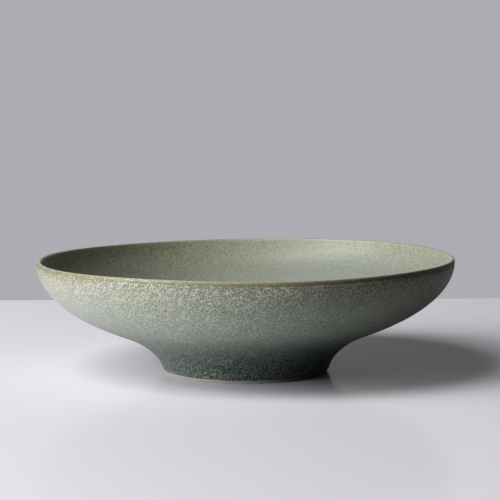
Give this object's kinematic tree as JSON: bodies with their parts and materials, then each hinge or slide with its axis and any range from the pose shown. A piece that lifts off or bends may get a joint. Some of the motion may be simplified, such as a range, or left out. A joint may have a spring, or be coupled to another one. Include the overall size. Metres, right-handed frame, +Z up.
{
  "type": "shallow footed bowl",
  "caption": "Wide shallow stoneware bowl with a thin upright rim on a small tapering foot ring, glazed inside and out down to a bare clay foot edge.",
  "frame": {"origin": "on the table, at the middle of the foot ring's flat bottom", "axes": "+Z up along the bowl's axis of revolution; X and Y are equal, because the bowl is round"},
  "size_m": [0.3, 0.3, 0.0817],
  "materials": {
    "clay": "bare fired stoneware, matt, fine grog",
    "slip": "fired joining slip, matt",
    "outer_glaze": "grey-green satin glaze, thickly speckled with cream below the rim, darker towards the foot",
    "inner_glaze": "pale grey-green satin glaze with fine flecks, breaking to olive buff at the lip",
    "well_glaze": "dark grey-green satin glaze"
  },
  "bodies": {
    "root": {"bowl_wall": "clay", "foot_ring": "clay", "luting_slip": "slip", "outer_glaze": "outer_glaze", "inner_glaze": "inner_glaze", "foot_well_glaze": "well_glaze"}
  },
  "joints": []
}
